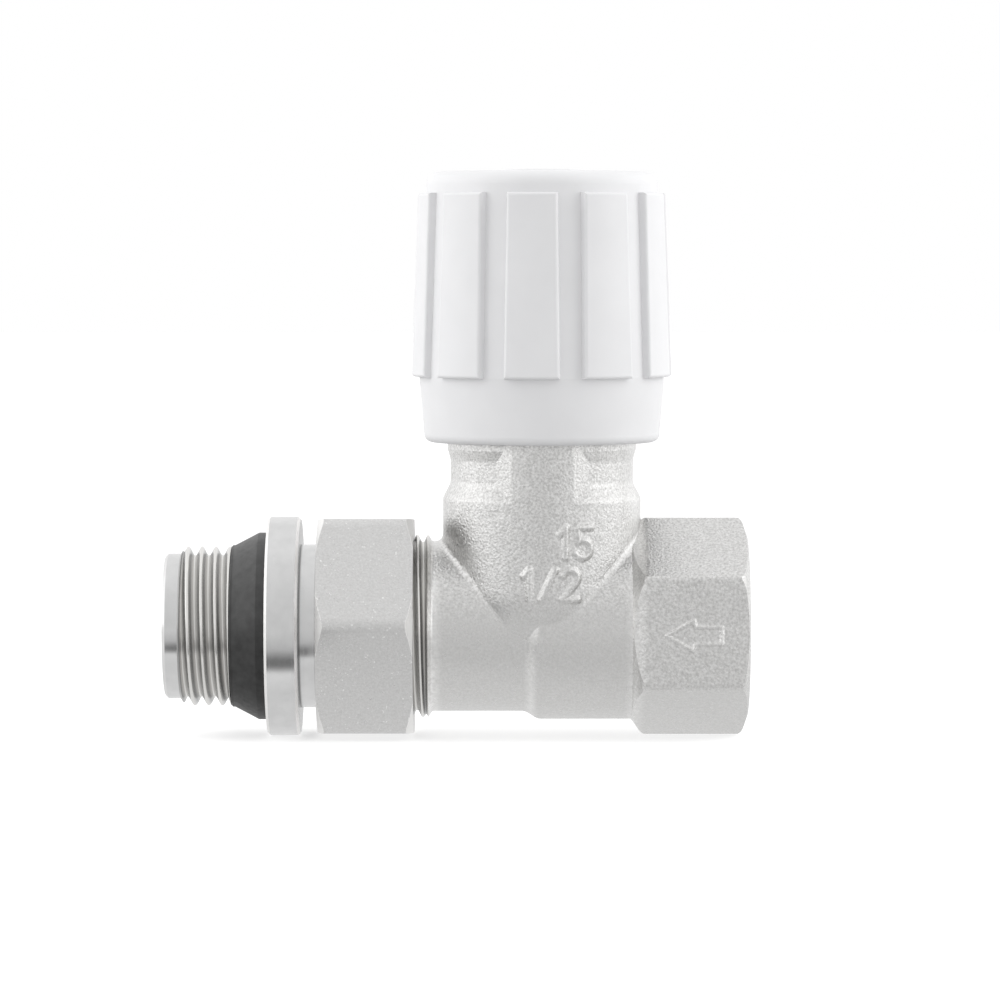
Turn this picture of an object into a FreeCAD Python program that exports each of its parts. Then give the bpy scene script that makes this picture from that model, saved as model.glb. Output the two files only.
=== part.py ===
import FreeCAD, Part
import math
import os

# Straight manual radiator valve. All sizes are millimetres.
# The origin is on the pipe axis where the inlet thread starts.
# +X points out of the inlet and +Z up the spindle.

# Fits
thread_gap = 0.05           # radial gap drawn between a screw thread and its hole
slide_gap = 0.08            # radial gap of a part that slides or turns in its hole
free_gap = 0.3              # gap between parts that only pass each other
end_play = 0.2              # axial play of a captive head or ring

# Inlet end of the body
inlet_thread_radius = 9.3155    # inside the crests of the 1/2" pipe thread
socket_depth = 12.0
drill_point = 3.0           # depth of the cone at the bottom of the socket
mouth_chamfer = 1.0
inlet_wall = 3.1845         # from the thread's crests to the hexagon's flats
inlet_hex_length = 15.3
inlet_hex_back_slope = 1.6
inlet_hex_back_round = 1.8
inlet_hex_corner_round = 0.9
inlet_face_inset = 0.6      # flat end face inside the hexagon's flats
inlet_edge_drop = 0.9
inlet_edge_round = 1.3

# Run of the body
spindle_back = 27.0         # spindle axis behind the inlet face
swell_inset = 0.26          # inlet half of the run inside the hexagon's flats
swell_step = 1.04           # outlet half of the run inside the inlet half
swell_back = 1.4            # the step between the halves, behind the spindle axis
swell_blend = 1.6

# Waterway
bore_radius = 6.0
inlet_bore_drop = 2.0
outlet_bore_rise = 2.5
bridge_wall = 1.8           # wall between the inlet bore and the outlet bore
riser_setback = 0.6         # inlet bore runs this far past the riser
moat_wall = 1.5             # wall between the inlet bore and the moat round the seat
seat_rise = 3.5             # seat above the moat's floor
seat_bore_radius = 5.0
seat_wall = 1.4

# Neck of the body
chamber_clear = 1.7         # between the disc holder and the chamber's wall
bonnet_thread_step = 0.3    # bonnet thread outside the chamber's wall
bonnet_thread_length = 5.65
bonnet_thread_runout = 0.75
neck_wall = 2.0             # outside the bonnet thread
shoulder_rise = 1.0         # wider lower part of the neck
shoulder_slope = 1.9
shoulder_round = 1.6
waist_length = 5.0          # from the shoulder up to the rim's flare
rim_height = 5.0            # from the start of the flare to the top
rim_flare = 0.4
rim_flare_length = 1.4
neck_foot_bury = 0.5        # the neck's foot tapers to this far inside the run
neck_foot_slope = 66.0      # degrees below the level
neck_foot_round = 12.0
pad_width = 6.8             # raised pad on the front of the neck
pad_flank = 1.0             # width of the pad's sloping flanks
pad_round = 0.8             # along the edges of the pad's face
joint_fillet = 1.0          # forged fillet where neck and run meet

# Outlet spigot
spigot_gap = 0.9            # run to be seen between the neck's fillet and the spigot thread
thread_show = 1.9           # spigot thread to be seen beside the nut
spigot_relief = 0.5         # slope from the spigot thread down to the run
spigot_wall = 3.0
spigot_chamfer = 0.7
spigot_bore_depth = 7.5

# Union nut and snap ring
nut_reach = 8.1             # length of thread in the nut
nut_lip = 2.1
nut_wall = 1.95             # from the thread to the flats
nut_corner_round = 2.0
nut_chamfer = 1.1
nut_chamfer_angle = 32.0
nut_turn = 4.0              # front corner above the level when the nut is tight, in degrees
nut_entry_chamfer = 0.7
snap_land = 0.9
snap_thickness = 1.5
snap_radial = 1.8
snap_depth = 1.05
snap_split = 3.0

# Union tail
nose_wall = 2.92
nose_clear = 0.5            # between the nose and the bottom of the spigot bore
nose_chamfer = 0.6
o_ring_groove_depth = 1.6
o_ring_groove_width = 2.4
o_ring_groove_set = 2.2     # groove behind the tip of the nose
tail_neck_inset = 1.25      # tail's neck inside the spigot thread
tail_neck_length = 2.3      # the part to be seen between nut and flange
flange_margin = 2.1         # flange outside the seal's foot
flange_thickness = 4.3
flange_chamfer = 0.35
tail_thread_radius = 10.4775    # outside of the 1/2" pipe thread
tail_thread_length = 6.7
tail_thread_chamfer = 0.6
tail_lead_inset = 0.9375
tail_lead_length = 2.0
tail_lead_chamfer = 0.4
seal_seat_inset = 1.4775    # seal's seat inside the thread
seal_seat_length = 4.8
tail_wall = 1.8             # under the seal's seat
tail_bore_cone = 3.0
lug_height = 1.3
lug_width = 3.0
lug_length = 7.0
lug_set = 1.0               # lugs behind the tail's end

# Tail seal
seal_end_wall = 1.65
seal_root_wall = 3.3
seal_end_land = 0.35
seal_root_land = 1.2
seal_short = 0.1            # seal shorter than its seat
seal_edge_round = 0.25

# Disc
disc_seal_overlap = 0.6     # disc seal outside the seat
disc_seal_thickness = 2.5
disc_washer_clear = 0.8     # between the washer and the seat bore
disc_washer_thickness = 0.6
disc_screw_radius = 1.5
disc_screw_head_radius = 3.0
disc_screw_head_height = 1.2
disc_screw_slot = 0.7
disc_hole_gap = 0.1
holder_wall = 0.95
holder_skirt = 1.7
holder_web = 1.6
holder_lip = 1.0
holder_chamfer = 0.6

# Spindle
button_radius = 2.8
button_height = 1.6
button_neck_radius = 1.8
collar_rise = 0.6           # stop collar outside the spindle thread
collar_height = 1.2
spindle_radius = 3.5
spindle_thread_depth = 1.5  # spindle thread outside the plain stem
thread_chamfer = 0.6
square_flats = 5.0
square_length = 8.0
lead = 1.5                  # lift for one turn
lift_turns = 2.5

# Bonnet
gasket_thickness = 0.8
bonnet_hex_rise = 1.0       # flats outside the bonnet thread
bonnet_hex_height = 4.2
bonnet_hex_chamfer = 0.5
bonnet_thread_room = 3.8    # threaded bore above the gasket face
bonnet_web = 1.6
packing_width = 2.0
packing_spacer_thickness = 0.8
gland_thread_step = 1.0     # gland thread outside the packing chamber
gland_thread_length = 3.7
gland_hex_rise = 0.5        # gland nut's flats outside its thread
gland_height = 2.5
gland_chamfer = 0.4
barrel_wall = 2.0
barrel_chamfer = 0.5

# Handwheel
hub_clear = 0.5             # hub above the gland nut when the valve is shut
wheel_clear = 0.4           # inside of the wheel clear of neck and bonnet
handwheel_height = 35.7
handwheel_wall = 2.0
skirt_flare = 0.7           # skirt widens from the rim to the foot of the ribs
crown_taper = 1.0           # wall narrows from there to the top
rim_round = 1.1
crown_round = 1.8
crown_rise = 0.3
top_thickness = 2.6
rib_count = 10
rib_turn = -5.0             # nearest rib, in degrees left of the front
rib_foot = 8.6              # rib ends above the rim
rib_head = 3.1              # rib ends below the top
rib_rise_foot = 1.0
rib_rise_head = 1.15
rib_width_foot = 7.2
rib_width_head = 6.5
rib_root = 1.0              # how deep the ribs are rooted in the wall
rib_round = 0.4
hub_wall = 2.0
web_count = 5
web_thickness = 1.4
web_lift = 1.5              # inner webs end above the hub's foot
square_gap = 0.06
square_headroom = 0.3
hub_floor = 2.0

# Handwheel screw, washer and cap
wheel_screw_radius = 1.5
wheel_screw_head_radius = 2.8
wheel_screw_head_height = 1.8
wheel_screw_bite = 5.0
wheel_screw_slot = 0.8
tapped_extra = 1.5
wheel_washer_margin = 0.8   # washer outside the screw's head
wheel_washer_thickness = 0.6
screw_well_clear = 0.6      # between the washer and the well's wall
screw_well_room = 1.4       # above the screw's head
cap_seat = 1.2              # cap outside the well
cap_thickness = 1.4
cap_edge = 0.3

# Radii and flats that follow from the sizes
inlet_flats = 2 * (inlet_thread_radius + inlet_wall)
swell_radius = inlet_flats / 2 - swell_inset
run_radius = swell_radius - swell_step
seat_radius = seat_bore_radius + seat_wall
disc_seal_radius = seat_radius + disc_seal_overlap
holder_radius = disc_seal_radius + thread_gap + holder_wall
chamber_radius = holder_radius + chamber_clear
bonnet_thread_radius = chamber_radius + bonnet_thread_step
neck_radius = bonnet_thread_radius + neck_wall
rim_radius = neck_radius + rim_flare
shoulder_radius = neck_radius + shoulder_rise
nose_radius = bore_radius + nose_wall
groove_radius = nose_radius - o_ring_groove_depth
spigot_bore_radius = nose_radius + slide_gap
spigot_radius = spigot_bore_radius + spigot_wall
nut_bore_radius = spigot_radius + thread_gap
nut_flats = 2 * (nut_bore_radius + nut_wall)
tail_neck_radius = spigot_radius - tail_neck_inset
snap_inner = tail_neck_radius - snap_depth + thread_gap
seal_seat_radius = tail_thread_radius - seal_seat_inset
tail_lead_radius = tail_thread_radius - tail_lead_inset
tail_bore_radius = seal_seat_radius - tail_wall
seal_root_radius = seal_seat_radius + seal_root_wall
seal_end_radius = seal_seat_radius + seal_end_wall
flange_radius = seal_root_radius + flange_margin
spindle_thread_radius = spindle_radius + spindle_thread_depth
collar_radius = spindle_thread_radius + collar_rise
packing_radius = spindle_radius + packing_width
ring_section = packing_width / 2 - thread_gap
ring_centre = spindle_radius + packing_width / 2
gland_thread_radius = packing_radius + gland_thread_step
gland_flats = 2 * (gland_thread_radius + gland_hex_rise)
barrel_radius = gland_thread_radius + barrel_wall
bonnet_flats = 2 * (bonnet_thread_radius + bonnet_hex_rise)
wheel_inner_radius = max(shoulder_radius, rim_radius, bonnet_flats / math.sqrt(3)) + wheel_clear
wheel_rim_radius = wheel_inner_radius + handwheel_wall
skirt_radius = wheel_rim_radius + skirt_flare
crown_edge_radius = skirt_radius - crown_taper
wheel_washer_radius = wheel_screw_head_radius + wheel_washer_margin
screw_well_radius = wheel_washer_radius + screw_well_clear
hub_radius = screw_well_radius + hub_wall
cap_radius = screw_well_radius + cap_seat

# Places along the pipe axis
inlet_face = mouth_chamfer
inlet_hex_back = inlet_face - inlet_hex_length
socket_floor = inlet_face - socket_depth
spindle_x = inlet_face - spindle_back
inlet_bore_past = seat_bore_radius + riser_setback
outlet_bore_start = inlet_bore_past + bridge_wall
shoulder_x = spindle_x - shoulder_radius - joint_fillet - spigot_gap
spigot_face = shoulder_x - thread_show - nut_reach
snap_right = spigot_face - snap_land
snap_left = snap_right - snap_thickness
nut_left = snap_left - nut_lip
nut_right = spigot_face + nut_reach
flange_right = nut_left - tail_neck_length
flange_left = flange_right - flange_thickness
thread_right = flange_left - seal_seat_length
thread_left = thread_right - tail_thread_length
tail_end = thread_left - tail_lead_length
nose_tip = spigot_face + spigot_bore_depth - nose_clear
groove_right = nose_tip - o_ring_groove_set
groove_left = groove_right - o_ring_groove_width

# Heights along the spindle axis
lift = lead * lift_turns
moat_floor = bore_radius - inlet_bore_drop + moat_wall
seat_height = moat_floor + seat_rise
seal_top = seat_height + disc_seal_thickness
button_floor = seal_top + holder_web
button_top = button_floor + button_height
lip_floor = button_top + end_play
holder_top = lip_floor + holder_lip
collar_floor = holder_top + end_play
collar_top = collar_floor + collar_height
bonnet_foot = collar_top + lift + free_gap
neck_top = bonnet_foot + bonnet_thread_length
flare_start = neck_top - rim_height
shoulder_top = flare_start - waist_length
gasket_top = neck_top + gasket_thickness
hex_top = gasket_top + bonnet_hex_height
thread_room_top = gasket_top + bonnet_thread_room
spindle_thread_top = thread_room_top - lift - free_gap
packing_floor = thread_room_top + bonnet_web
spacer_floor = packing_floor + 2 * ring_section
spacer_top = spacer_floor + packing_spacer_thickness
gland_foot = spacer_top + 2 * ring_section
barrel_top = gland_foot + gland_thread_length
gland_top = barrel_top + gland_height
spindle_shoulder = gland_top + hub_clear
square_top = spindle_shoulder + square_length
floor_low = square_top + square_headroom
floor_high = floor_low + hub_floor
wheel_screw_seat = floor_high + wheel_washer_thickness
wheel_screw_top = wheel_screw_seat + wheel_screw_head_height
cap_floor = wheel_screw_top + screw_well_room
handwheel_top = cap_floor + cap_thickness
handwheel_foot = handwheel_top - handwheel_height
rib_low = handwheel_foot + rib_foot
rib_high = handwheel_top - rib_head
ceiling = handwheel_top - top_thickness


def outline(corners, shift=0.0):
    """Closed wire in the XZ plane through (u, v) corners; a third value rounds the corner."""
    points = [FreeCAD.Vector(corner[0] + shift, 0, corner[1]) for corner in corners]
    count = len(points)
    arrivals = []
    departures = []
    arcs = []
    for index in range(count):
        here = points[index]
        if len(corners[index]) < 3:
            arrivals.append(here)
            departures.append(here)
            continue
        radius = corners[index][2]
        back = (points[index - 1] - here).normalize()
        ahead = (points[(index + 1) % count] - here).normalize()
        half = back.getAngle(ahead) / 2
        reach = radius / math.tan(half)
        inward = (back + ahead).normalize()
        middle = here + inward * (radius / math.sin(half) - radius)
        arrivals.append(here + back * reach)
        departures.append(here + ahead * reach)
        arcs.append(Part.Arc(arrivals[-1], middle, departures[-1]).toShape())
    lines = []
    for index in range(count):
        start = departures[index]
        end = arrivals[(index + 1) % count]
        if start.distanceToPoint(end) > 1e-6:
            lines.append(Part.makeLine(start, end))
    return Part.Wire(Part.__sortEdges__(lines + arcs))


def turned_x(corners):
    """Solid turned about the pipe axis from (x, radius) corners."""
    return Part.Face(outline(corners)).revolve(FreeCAD.Vector(0, 0, 0), FreeCAD.Vector(1, 0, 0), 360)


def turned_z(corners):
    """Solid turned about the spindle axis from (radius, z) corners."""
    axis = FreeCAD.Vector(spindle_x, 0, 0)
    return Part.Face(outline(corners, spindle_x)).revolve(axis, FreeCAD.Vector(0, 0, 1), 360)


def rod_x(radius, left, right, height=0.0):
    return Part.makeCylinder(radius, right - left, FreeCAD.Vector(left, 0, height), FreeCAD.Vector(1, 0, 0))


def rod_z(radius, low, high):
    return Part.makeCylinder(radius, high - low, FreeCAD.Vector(spindle_x, 0, low))


def block_z(width, depth, low, high):
    """Box centred on the spindle axis."""
    corner = FreeCAD.Vector(spindle_x - width / 2, -depth / 2, low)
    return Part.makeBox(width, depth, high - low, corner)


def hexagon_x(flats, left, right, first_corner):
    """Hexagon bar along the pipe axis; first_corner is the angle of a corner from +Y."""
    corners = []
    for index in range(7):
        angle = math.radians(first_corner + 60 * index)
        reach = flats / math.sqrt(3)
        corners.append(FreeCAD.Vector(left, reach * math.cos(angle), reach * math.sin(angle)))
    return Part.Face(Part.makePolygon(corners)).extrude(FreeCAD.Vector(right - left, 0, 0))


def rounded_hexagon_x(flats, left, right, first_corner, corner_round):
    bar = hexagon_x(flats, left, right, first_corner)
    along = [edge for edge in bar.Edges if abs(edge.BoundBox.XLength - (right - left)) < 1e-3]
    return bar.makeFillet(corner_round, along)


def hexagon_z(flats, low, high):
    corners = []
    for index in range(7):
        angle = math.radians(60 * index)
        reach = flats / math.sqrt(3)
        corners.append(FreeCAD.Vector(spindle_x + reach * math.cos(angle), reach * math.sin(angle), low))
    return Part.Face(Part.makePolygon(corners)).extrude(FreeCAD.Vector(0, 0, high - low))


def ring_x(centre_radius, section, place):
    return Part.makeTorus(centre_radius, section, FreeCAD.Vector(place, 0, 0), FreeCAD.Vector(1, 0, 0))


def ring_z(centre_radius, section, height):
    return Part.makeTorus(centre_radius, section, FreeCAD.Vector(spindle_x, 0, height))


def edges_between(solid, first, second):
    """Edges of a fused solid where the skins of two of its members meet."""
    skins = [first.Shells[0], second.Shells[0]]
    found = []
    for edge in solid.Edges:
        middle = Part.Vertex(edge.valueAt((edge.FirstParameter + edge.LastParameter) / 2))
        if all(skin.distToShape(middle)[0] < 1e-4 for skin in skins):
            found.append(edge)
    return found


def inlet_hexagon():
    reach = inlet_flats / math.sqrt(3)
    bar = rounded_hexagon_x(inlet_flats, inlet_hex_back, inlet_face, 90, inlet_hex_corner_round)
    envelope = turned_x([
        (inlet_hex_back, 0),
        (inlet_hex_back, swell_radius),
        (inlet_hex_back + inlet_hex_back_slope, reach, inlet_hex_back_round),
        (inlet_face - inlet_edge_drop, reach, inlet_edge_round),
        (inlet_face, inlet_flats / 2 - inlet_face_inset),
        (inlet_face, 0),
    ])
    return bar.common(envelope)


def body_run():
    step = spindle_x - swell_back
    return turned_x([
        (spigot_face, 0),
        (spigot_face, spigot_radius - spigot_chamfer),
        (spigot_face + spigot_chamfer, spigot_radius),
        (shoulder_x, spigot_radius),
        (shoulder_x + spigot_relief, run_radius, spigot_relief),
        (step - swell_blend / 2, run_radius, swell_blend),
        (step + swell_blend / 2, swell_radius, swell_blend),
        (inlet_face - inlet_edge_drop, swell_radius),
        (inlet_face - inlet_edge_drop, 0),
    ])


def body_neck():
    slope = math.radians(neck_foot_slope)
    depth = run_radius - neck_foot_bury
    foot_radius = depth * math.sin(slope)
    foot_low = -depth * math.cos(slope)
    foot_high = foot_low + (shoulder_radius - foot_radius) * math.tan(slope)
    return turned_z([
        (0, foot_low),
        (foot_radius, foot_low),
        (shoulder_radius, foot_high, neck_foot_round),
        (shoulder_radius, shoulder_top, shoulder_round),
        (neck_radius, shoulder_top + shoulder_slope, shoulder_round),
        (neck_radius, flare_start, shoulder_round),
        (rim_radius, flare_start + rim_flare_length),
        (rim_radius, neck_top),
        (0, neck_top),
    ])


def neck_pad():
    """Raised pad that carries the shoulder's front up to the rim."""
    inner = 2 * neck_radius - shoulder_radius
    half_root = pad_width / 2 + 2 * pad_flank
    half_face = pad_width / 2
    low = shoulder_top - shoulder_slope
    corners = [
        FreeCAD.Vector(spindle_x - half_root, -inner, low),
        FreeCAD.Vector(spindle_x + half_root, -inner, low),
        FreeCAD.Vector(spindle_x + half_face, -shoulder_radius, low),
        FreeCAD.Vector(spindle_x - half_face, -shoulder_radius, low),
    ]
    panel = Part.Face(Part.makePolygon(corners + corners[:1]))
    panel = panel.extrude(FreeCAD.Vector(0, 0, neck_top - low))
    pad = panel.common(rod_z(shoulder_radius, low, neck_top))
    upright = [edge for edge in pad.Edges if abs(edge.BoundBox.ZLength - (neck_top - low)) < 1e-3]
    front = [edge for edge in upright if edge.BoundBox.YMax < -neck_radius]
    return pad.makeFillet(pad_round, front)


def waterway():
    socket = turned_x([
        (socket_floor - drill_point, 0),
        (socket_floor, inlet_thread_radius),
        (inlet_face - mouth_chamfer, inlet_thread_radius),
        (inlet_face, inlet_thread_radius + mouth_chamfer),
        (inlet_face, 0),
    ])
    inlet_end = spindle_x - inlet_bore_past + bore_radius
    inlet = rod_x(bore_radius, inlet_end, socket_floor, -inlet_bore_drop)
    elbow = Part.makeSphere(bore_radius, FreeCAD.Vector(inlet_end, 0, -inlet_bore_drop))
    riser = rod_z(seat_bore_radius, -inlet_bore_drop, seat_height)
    chamber = turned_z([
        (0, seat_height),
        (seat_radius, seat_height),
        (seat_radius, moat_floor),
        (chamber_radius, moat_floor),
        (chamber_radius, bonnet_foot - bonnet_thread_runout),
        (bonnet_thread_radius + thread_gap, bonnet_foot - bonnet_thread_runout),
        (bonnet_thread_radius + thread_gap, neck_top),
        (0, neck_top),
    ])
    outlet = rod_x(bore_radius, spigot_face, spindle_x - outlet_bore_start, outlet_bore_rise)
    spigot_bore = rod_x(spigot_bore_radius, spigot_face, spigot_face + spigot_bore_depth)
    return socket.fuse([inlet, elbow, riser, chamber, outlet, spigot_bore])


def valve_body():
    run = body_run()
    neck = body_neck()
    tee = run.fuse(neck)
    tee = tee.makeFillet(joint_fillet, edges_between(tee, run, neck))
    forging = tee.fuse([neck_pad(), inlet_hexagon()]).removeSplitter()
    return forging.cut(waterway())


def bonnet_gasket():
    hole = rod_z(bonnet_thread_radius + free_gap, neck_top, gasket_top)
    return rod_z(bonnet_flats / 2, neck_top, gasket_top).cut(hole)


def bonnet():
    sleeve = turned_z([
        (0, bonnet_foot),
        (bonnet_thread_radius - thread_chamfer, bonnet_foot),
        (bonnet_thread_radius, bonnet_foot + thread_chamfer),
        (bonnet_thread_radius, gasket_top),
        (barrel_radius, gasket_top),
        (barrel_radius, barrel_top - barrel_chamfer),
        (barrel_radius - barrel_chamfer, barrel_top),
        (0, barrel_top),
    ])
    reach = bonnet_flats / math.sqrt(3)
    envelope = turned_z([
        (0, gasket_top),
        (reach, gasket_top),
        (reach, hex_top - bonnet_hex_chamfer),
        (bonnet_flats / 2, hex_top),
        (0, hex_top),
    ])
    hexagon = hexagon_z(bonnet_flats, gasket_top, hex_top).common(envelope)
    hollow = turned_z([
        (0, bonnet_foot),
        (spindle_thread_radius + thread_gap, bonnet_foot),
        (spindle_thread_radius + thread_gap, thread_room_top),
        (spindle_radius + slide_gap, thread_room_top),
        (spindle_radius + slide_gap, packing_floor),
        (packing_radius, packing_floor),
        (packing_radius, gland_foot),
        (gland_thread_radius + thread_gap, gland_foot),
        (gland_thread_radius + thread_gap, barrel_top),
        (0, barrel_top),
    ])
    return sleeve.fuse(hexagon).cut(hollow)


def packing_ring(floor):
    return ring_z(ring_centre, ring_section, floor + ring_section)


def packing_spacer():
    outer = rod_z(packing_radius - thread_gap, spacer_floor, spacer_top)
    return outer.cut(rod_z(spindle_radius + slide_gap, spacer_floor, spacer_top))


def gland_nut():
    reach = gland_flats / math.sqrt(3)
    envelope = turned_z([
        (0, barrel_top),
        (reach, barrel_top),
        (reach, gland_top - gland_chamfer),
        (gland_flats / 2, gland_top),
        (0, gland_top),
    ])
    head = hexagon_z(gland_flats, barrel_top, gland_top).common(envelope)
    shank = rod_z(gland_thread_radius, gland_foot, barrel_top)
    return head.fuse(shank).cut(rod_z(spindle_radius + slide_gap, gland_foot, gland_top))


def disc_seal():
    disc = rod_z(disc_seal_radius, seat_height, seal_top)
    return disc.cut(rod_z(disc_screw_radius + disc_hole_gap, seat_height, seal_top))


def disc_washer():
    low = seat_height - disc_washer_thickness
    disc = rod_z(seat_bore_radius - disc_washer_clear, low, seat_height)
    return disc.cut(rod_z(disc_screw_radius + disc_hole_gap, low, seat_height))


def disc_screw():
    head_top = seat_height - disc_washer_thickness
    head_foot = head_top - disc_screw_head_height
    head = rod_z(disc_screw_head_radius, head_foot, head_top)
    shank = rod_z(disc_screw_radius, head_top, button_floor - free_gap)
    slot = block_z(disc_screw_slot, 2 * disc_screw_head_radius, head_foot, head_foot + disc_screw_slot)
    return head.fuse(shank).cut(slot)


def t_slot(radius, low, high):
    """Slot for a round part that is pushed in from the back of the holder."""
    width = 2 * (radius + end_play)
    corner = FreeCAD.Vector(spindle_x - width / 2, 0, low)
    channel = Part.makeBox(width, holder_radius, high - low, corner)
    return rod_z(width / 2, low, high).fuse(channel)


def disc_holder():
    skirt_foot = seal_top - holder_skirt
    cup = turned_z([
        (disc_seal_radius + thread_gap, skirt_foot),
        (holder_radius, skirt_foot),
        (holder_radius, holder_top - holder_chamfer),
        (holder_radius - holder_chamfer, holder_top),
        (0, holder_top),
        (0, seal_top),
        (disc_seal_radius + thread_gap, seal_top),
    ])
    tapped = rod_z(disc_screw_radius + thread_gap, seal_top, button_floor)
    button_slot = t_slot(button_radius, button_floor, lip_floor)
    neck_slot = t_slot(button_neck_radius, lip_floor, holder_top)
    return cup.cut(tapped).cut(button_slot).cut(neck_slot)


def spindle():
    stem = turned_z([
        (0, button_floor),
        (button_radius, button_floor),
        (button_radius, button_top),
        (button_neck_radius, button_top),
        (button_neck_radius, collar_floor),
        (collar_radius, collar_floor),
        (collar_radius, collar_top),
        (spindle_thread_radius, collar_top),
        (spindle_thread_radius, spindle_thread_top - thread_chamfer),
        (spindle_thread_radius - thread_chamfer, spindle_thread_top),
        (spindle_radius, spindle_thread_top),
        (spindle_radius, spindle_shoulder),
        (0, spindle_shoulder),
    ])
    square = block_z(square_flats, square_flats, spindle_shoulder, square_top)
    square = square.common(rod_z(spindle_radius, spindle_shoulder, square_top))
    depth = wheel_screw_bite + tapped_extra
    tapped = rod_z(wheel_screw_radius + thread_gap, square_top - depth, square_top)
    return stem.fuse(square).cut(tapped)


def handwheel_rib():
    """One rib at the front, its outer edges rounded."""
    ring = turned_z([
        (skirt_radius - handwheel_wall, rib_low),
        (skirt_radius + rib_rise_foot, rib_low),
        (crown_edge_radius + rib_rise_head, rib_high),
        (crown_edge_radius - rib_root, rib_high),
    ])
    corners = [
        FreeCAD.Vector(spindle_x - rib_width_foot / 2, 0, rib_low),
        FreeCAD.Vector(spindle_x + rib_width_foot / 2, 0, rib_low),
        FreeCAD.Vector(spindle_x + rib_width_head / 2, 0, rib_high),
        FreeCAD.Vector(spindle_x - rib_width_head / 2, 0, rib_high),
    ]
    panel = Part.Face(Part.makePolygon(corners + corners[:1]))
    panel = panel.extrude(FreeCAD.Vector(0, -2 * skirt_radius, 0))
    rib = ring.common(panel)
    front = min(rib.Faces, key=lambda face: face.CenterOfMass.y)
    return rib.makeFillet(rib_round, front.Edges)


def handwheel_shell():
    shell = turned_z([
        (0, handwheel_foot),
        (wheel_rim_radius, handwheel_foot, rim_round),
        (skirt_radius, rib_low),
        (crown_edge_radius, handwheel_top - crown_rise, crown_round),
        (0, handwheel_top),
    ])
    hollow = turned_z([
        (0, handwheel_foot),
        (wheel_inner_radius, handwheel_foot),
        (skirt_radius - handwheel_wall, rib_low),
        (crown_edge_radius - handwheel_wall, ceiling),
        (0, ceiling),
    ])
    return shell.cut(hollow)


def handwheel():
    axis = FreeCAD.Vector(spindle_x, 0, 0)
    up = FreeCAD.Vector(0, 0, 1)
    rib = handwheel_rib()
    members = []
    for index in range(rib_count):
        turn = rib_turn + index * 360 / rib_count
        members.append(rib.copy().rotate(axis, up, turn))
    hub = rod_z(hub_radius, spindle_shoulder, ceiling)
    members.append(hub)
    web_low = spindle_shoulder + web_lift
    corner = FreeCAD.Vector(spindle_x, -web_thickness / 2, web_low)
    web = Part.makeBox(crown_edge_radius - handwheel_wall / 2, web_thickness, ceiling - web_low, corner)
    for index in range(web_count):
        members.append(web.copy().rotate(axis, up, index * 360 / web_count))
    solid = handwheel_shell().fuse(members)
    across = square_flats + 2 * square_gap
    socket = block_z(across, across, spindle_shoulder, floor_low)
    hole = rod_z(wheel_screw_radius + free_gap, floor_low, floor_high)
    well = rod_z(screw_well_radius, floor_high, cap_floor)
    recess = rod_z(cap_radius + slide_gap, cap_floor, handwheel_top)
    return solid.cut([socket, hole, well, recess]).removeSplitter()


def handwheel_washer():
    hole = rod_z(wheel_screw_radius + disc_hole_gap, floor_high, wheel_screw_seat)
    return rod_z(wheel_washer_radius, floor_high, wheel_screw_seat).cut(hole)


def handwheel_screw():
    top = wheel_screw_top
    head = rod_z(wheel_screw_head_radius, wheel_screw_seat, top)
    shank = rod_z(wheel_screw_radius, square_top - wheel_screw_bite, wheel_screw_seat)
    long = block_z(2 * wheel_screw_radius, wheel_screw_slot, top - wheel_screw_slot, top)
    cross = block_z(wheel_screw_slot, 2 * wheel_screw_radius, top - wheel_screw_slot, top)
    return head.fuse(shank).cut([long, cross])


def handwheel_cap():
    return turned_z([
        (0, cap_floor),
        (cap_radius, cap_floor),
        (cap_radius, handwheel_top - cap_edge),
        (cap_radius - cap_edge, handwheel_top),
        (0, handwheel_top),
    ])


def union_tail():
    stem = turned_x([
        (tail_end, tail_bore_radius),
        (tail_end, tail_lead_radius - tail_lead_chamfer),
        (tail_end + tail_lead_chamfer, tail_lead_radius),
        (thread_left, tail_lead_radius),
        (thread_left + tail_thread_chamfer, tail_thread_radius),
        (thread_right, tail_thread_radius),
        (thread_right, seal_seat_radius),
        (flange_left, seal_seat_radius),
        (flange_left, flange_radius - flange_chamfer),
        (flange_left + flange_chamfer, flange_radius),
        (flange_right - flange_chamfer, flange_radius),
        (flange_right, flange_radius - flange_chamfer),
        (flange_right, tail_neck_radius),
        (snap_left - end_play, tail_neck_radius),
        (snap_left - end_play, tail_neck_radius - snap_depth),
        (snap_right, tail_neck_radius - snap_depth),
        (snap_right, tail_neck_radius),
        (spigot_face, tail_neck_radius),
        (spigot_face, nose_radius),
        (groove_left, nose_radius),
        (groove_left, groove_radius),
        (groove_right, groove_radius),
        (groove_right, nose_radius),
        (nose_tip - nose_chamfer, nose_radius),
        (nose_tip, nose_radius - nose_chamfer),
        (nose_tip, bore_radius),
        (flange_right + tail_bore_cone, bore_radius),
        (flange_right, tail_bore_radius),
    ])
    lug_left = tail_end + lug_set
    corner = FreeCAD.Vector(lug_left, -lug_width / 2, -seal_seat_radius)
    bar = Part.makeBox(lug_length, lug_width, 2 * seal_seat_radius, corner)
    tube = rod_x(tail_bore_radius + lug_height / 2, lug_left, lug_left + lug_length)
    clear = rod_x(tail_bore_radius - lug_height, lug_left, lug_left + lug_length)
    return stem.fuse(bar.common(tube).cut(clear)).removeSplitter()


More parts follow.
